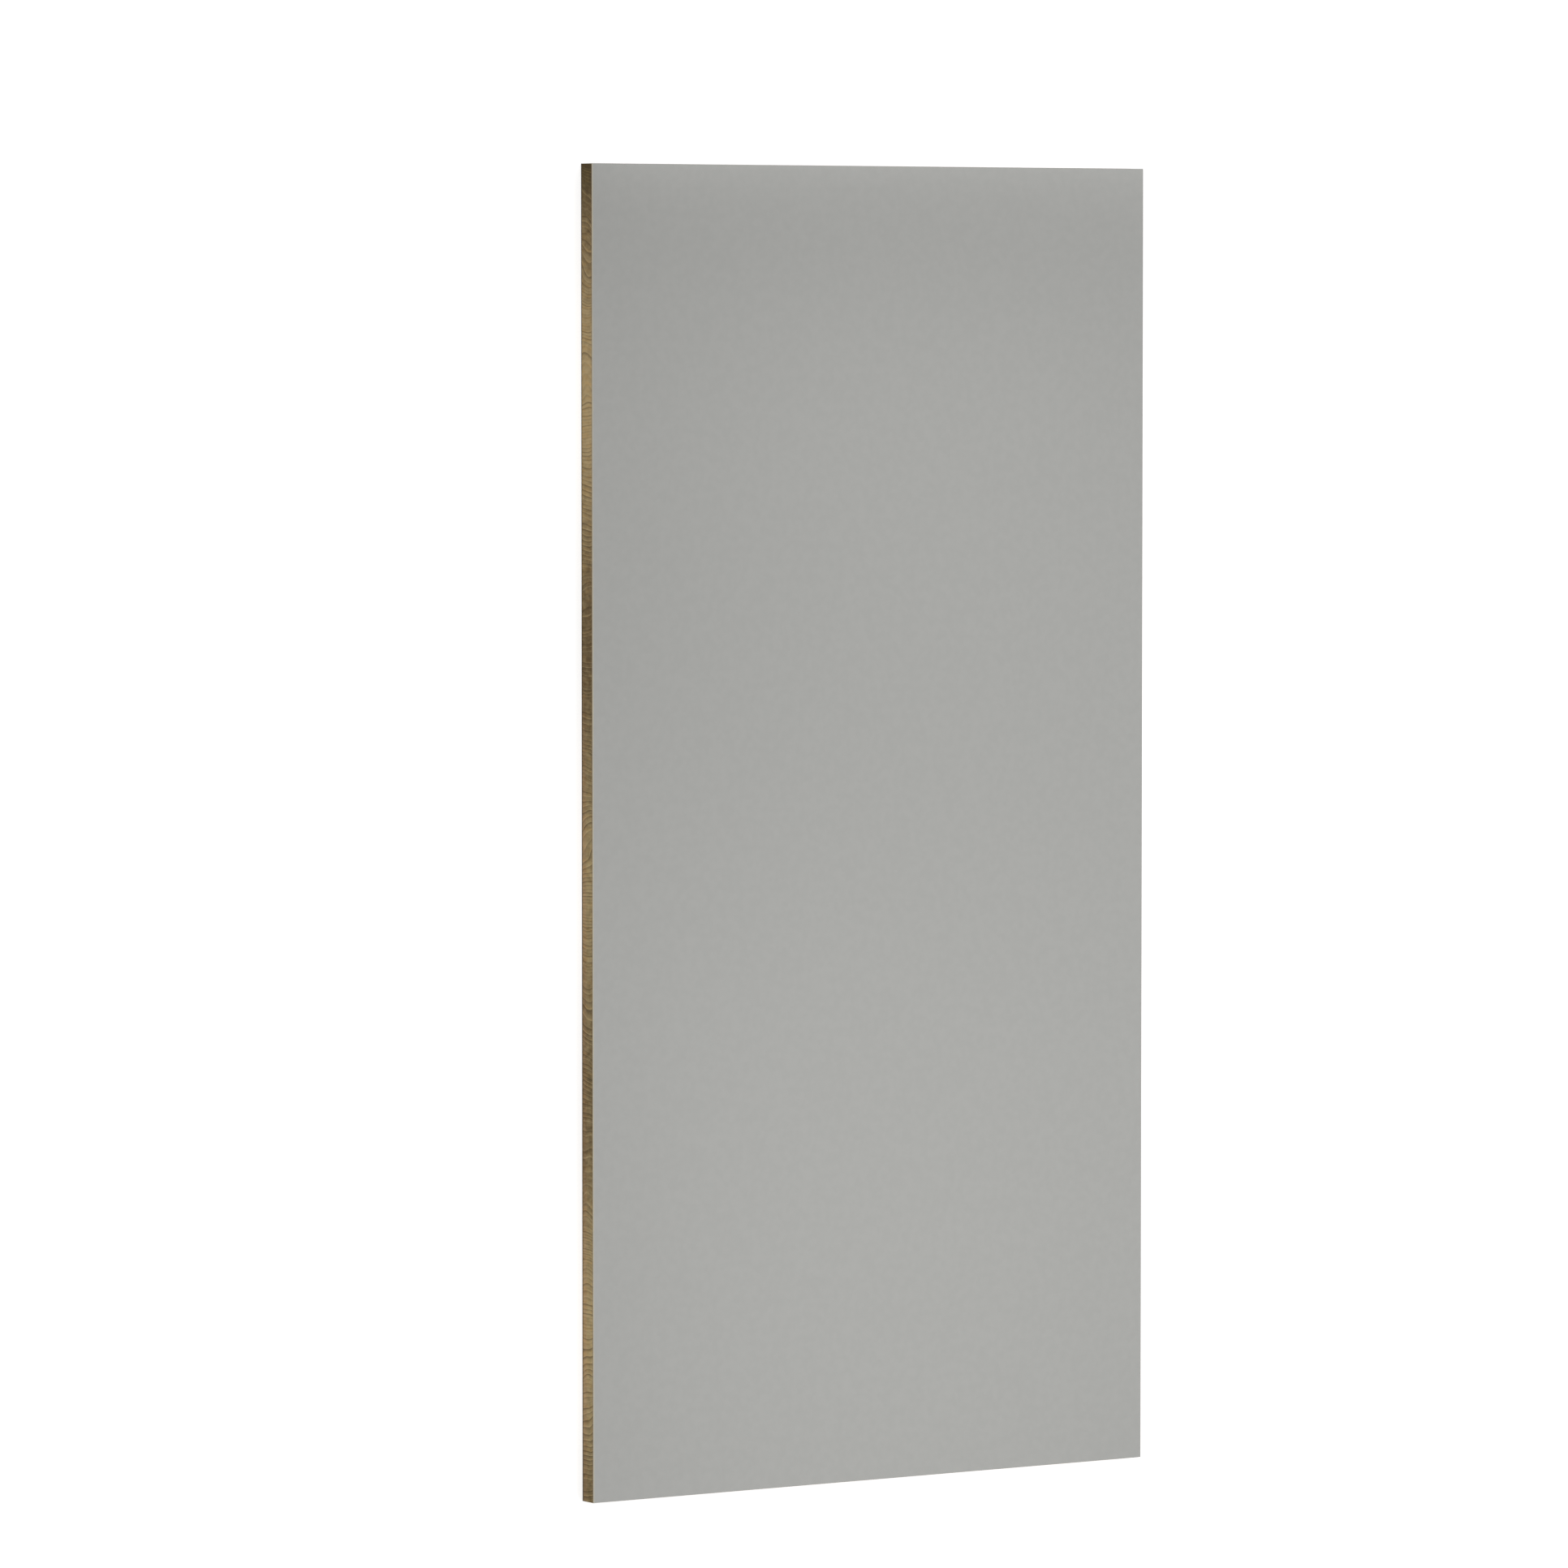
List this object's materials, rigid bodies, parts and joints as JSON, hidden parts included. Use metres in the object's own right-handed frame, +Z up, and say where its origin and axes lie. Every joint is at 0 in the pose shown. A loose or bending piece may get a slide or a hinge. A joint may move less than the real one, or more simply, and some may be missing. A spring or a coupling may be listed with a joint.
{
  "type": "decorative laminate sheet",
  "caption": "Flat rectangular full-size board: plain grey decorative laminate on a timber core whose grain shows at the sawn edges, with a thin balancing laminate on the back.",
  "frame": {"origin": "middle of the underside, on the back of the backing laminate", "axes": "+X across the width, +Y along the length, +Z up out of the decorative face"},
  "size_m": [1.2192, 2.4384, 0.0368],
  "materials": {
    "grey_laminate": "plain mid-grey melamine laminate with a satin suede texture",
    "core_timber": "bare sawn timber, tan brown with darker growth rings",
    "backing_laminate": "dark brown phenolic balancing laminate, sanded matt"
  },
  "bodies": {
    "root": {"backing_laminate": "backing_laminate", "core_board": "core_timber", "face_laminate": "grey_laminate"}
  },
  "joints": []
}
